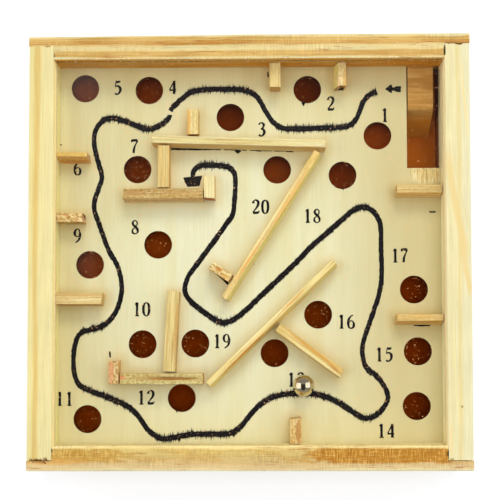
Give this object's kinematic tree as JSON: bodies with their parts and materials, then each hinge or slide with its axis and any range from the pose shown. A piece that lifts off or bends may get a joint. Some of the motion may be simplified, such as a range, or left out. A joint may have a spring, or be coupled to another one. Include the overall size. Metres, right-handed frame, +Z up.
{
  "type": "tilt maze game",
  "caption": "Square wooden hand-held tilt maze: grooved frame, clear cover, holed maze board with barrier sticks, steel ball and return ramp.",
  "frame": {"origin": "middle of the underside of the box", "axes": "+Z up, +Y to the far rail where the ball starts, +X to the right"},
  "size_m": [0.1408, 0.139, 0.027],
  "materials": {
    "frame_wood": "bare sanded pine",
    "brown_hardboard": "smooth side of dark hardboard",
    "board_plywood": "bare sanded birch plywood",
    "clear_acrylic": "clear, glossy",
    "ramp_wood": "bare sawn wood",
    "barrier_wood": "bare sawn wood with rough ends",
    "polished_steel": "polished",
    "printed_ink": "black ink printed on the maze board",
    "dust": "loose white specks on the clear cover"
  },
  "bodies": {
    "box": {"near_rail": "frame_wood", "far_rail": "frame_wood", "left_rail": "frame_wood", "right_rail": "frame_wood", "bottom_sheet": "brown_hardboard", "maze_board": "board_plywood", "clear_cover": "clear_acrylic", "return_ramp": "ramp_wood", "barrier_far_left": "barrier_wood", "barrier_far_right": "barrier_wood", "barrier_by_hole_3": "barrier_wood", "barrier_long_bar": "barrier_wood", "barrier_by_hole_7": "barrier_wood", "barrier_hook_arm": "barrier_wood", "barrier_hook_tip": "barrier_wood", "barrier_long_diagonal": "barrier_wood", "barrier_diagonal_stub": "barrier_wood", "barrier_lower_diagonal": "barrier_wood", "barrier_by_hole_13": "barrier_wood", "barrier_by_hole_10": "barrier_wood", "barrier_low_bar": "barrier_wood", "barrier_low_bar_end": "barrier_wood", "barrier_left_upper": "barrier_wood", "barrier_left_middle": "barrier_wood", "barrier_left_lower": "barrier_wood", "barrier_right_upper": "barrier_wood", "barrier_right_lower": "barrier_wood", "barrier_near": "barrier_wood"},
    "ball": {"steel_ball": "polished_steel"}
  },
  "joints": [
    {"name": "ball_roll", "type": "slide", "parent": "box", "child": "ball", "axis": [1, 0, 0], "range_m": [-0.024, 0.0088]}
  ]
}
